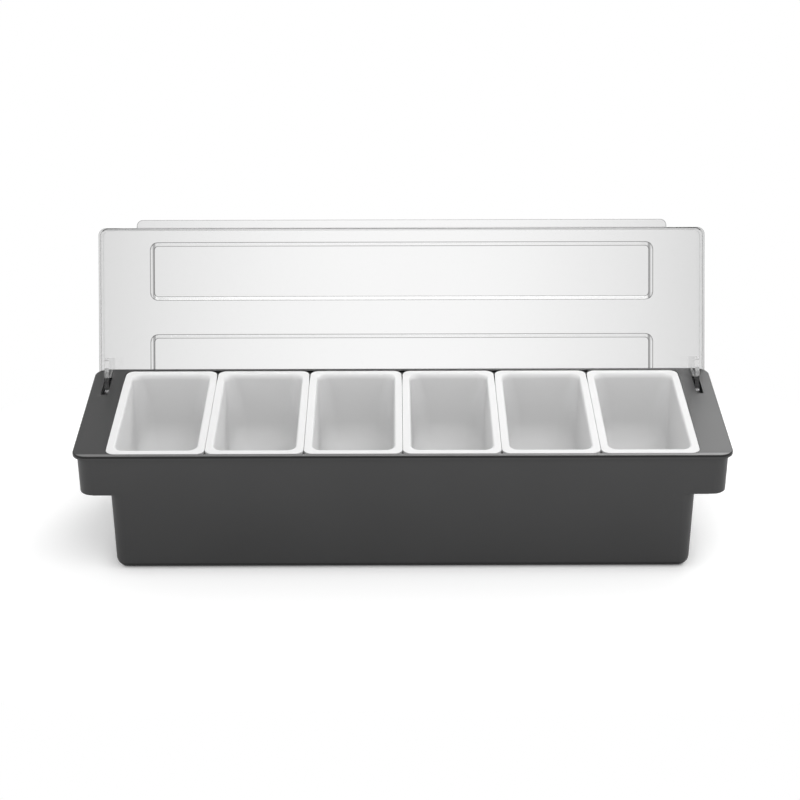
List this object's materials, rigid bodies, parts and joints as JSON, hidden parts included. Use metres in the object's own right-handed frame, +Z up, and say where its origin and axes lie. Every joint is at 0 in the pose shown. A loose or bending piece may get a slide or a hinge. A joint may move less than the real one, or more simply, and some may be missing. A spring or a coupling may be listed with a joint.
{
  "type": "condiment caddy",
  "caption": "Long tray with end shelves that holds lift-out pans in a row over ice, under one wide clear lid that swings back on hinge arms.",
  "frame": {"origin": "middle of the tray's flat underside, on the table", "axes": "+X along the row of pans to the right, +Y back towards the hinge, +Z up"},
  "size_m": [0.5, 0.2208, 0.2095],
  "materials": {
    "tray_plastic": "satin dark grey, moulded",
    "pan_plastic": "white, softly glossy",
    "lid_clear": "clear, polished",
    "pin_steel": "plain ground steel"
  },
  "bodies": {
    "base": {"tray": "tray_plastic", "hinge_pin_left": "pin_steel", "hinge_pin_right": "pin_steel"},
    "lid": {"lid": "lid_clear"},
    "pan_1": {"pan_1": "pan_plastic"},
    "pan_2": {"pan_2": "pan_plastic"},
    "pan_3": {"pan_3": "pan_plastic"},
    "pan_4": {"pan_4": "pan_plastic"},
    "pan_5": {"pan_5": "pan_plastic"},
    "pan_6": {"pan_6": "pan_plastic"}
  },
  "joints": [
    {"name": "lid_hinge", "type": "hinge", "parent": "base", "child": "lid", "pos_m": [0, 0.061, 0.087], "axis": [-1, 0, 0], "range_deg": [-114.4, 0]},
    {"name": "pan_1_lift", "type": "slide", "parent": "base", "child": "pan_1", "axis": [0, 0, 1], "range_m": [0, 0.09]},
    {"name": "pan_2_lift", "type": "slide", "parent": "base", "child": "pan_2", "axis": [0, 0, 1], "range_m": [0, 0.09]},
    {"name": "pan_3_lift", "type": "slide", "parent": "base", "child": "pan_3", "axis": [0, 0, 1], "range_m": [0, 0.09]},
    {"name": "pan_4_lift", "type": "slide", "parent": "base", "child": "pan_4", "axis": [0, 0, 1], "range_m": [0, 0.09]},
    {"name": "pan_5_lift", "type": "slide", "parent": "base", "child": "pan_5", "axis": [0, 0, 1], "range_m": [0, 0.09]},
    {"name": "pan_6_lift", "type": "slide", "parent": "base", "child": "pan_6", "axis": [0, 0, 1], "range_m": [0, 0.09]}
  ]
}
